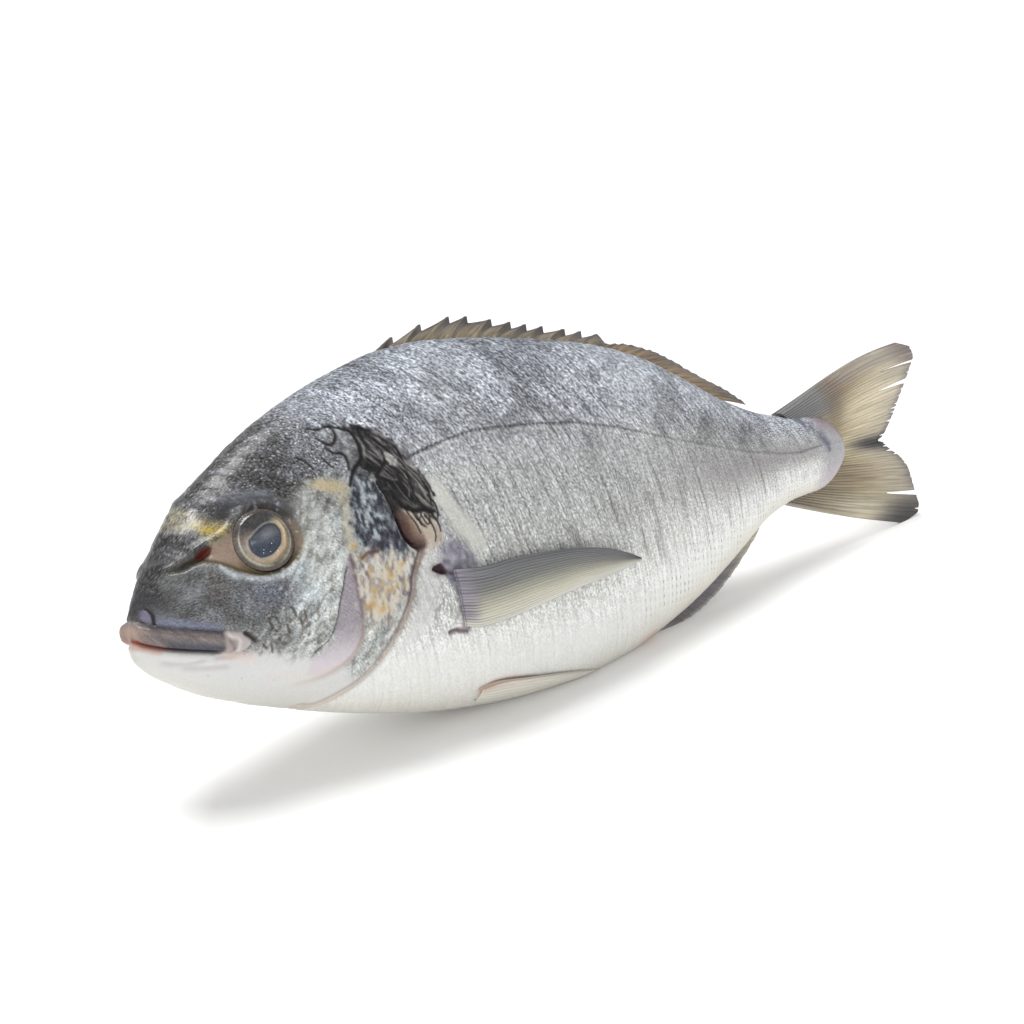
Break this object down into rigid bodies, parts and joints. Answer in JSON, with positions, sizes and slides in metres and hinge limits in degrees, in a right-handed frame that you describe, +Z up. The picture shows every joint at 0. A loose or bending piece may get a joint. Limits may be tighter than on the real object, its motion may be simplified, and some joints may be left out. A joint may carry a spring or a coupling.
{
  "type": "gilt-head sea bream",
  "caption": "Whole fresh gilt-head sea bream resting upright on its belly and tail tip, fins folded, leaning slightly to its right.",
  "frame": {"origin": "on the surface the fish rests on, under the middle of its bounding box", "axes": "+Z up from the surface, -X towards the snout, +X towards the tail, -Y towards the left flank"},
  "size_m": [0.2964, 0.0534, 0.0904],
  "materials": {
    "skin": "satin",
    "fin": "satin",
    "eye": "gloss"
  },
  "bodies": {
    "root": {"body": "skin", "dorsal_fin": "fin", "anal_fin": "fin", "caudal_fin": "fin", "pectoral_fin_left": "fin", "pectoral_fin_right": "fin", "pelvic_fin_left": "fin", "pelvic_fin_right": "fin", "eye_left": "eye", "eye_right": "eye"}
  },
  "joints": []
}
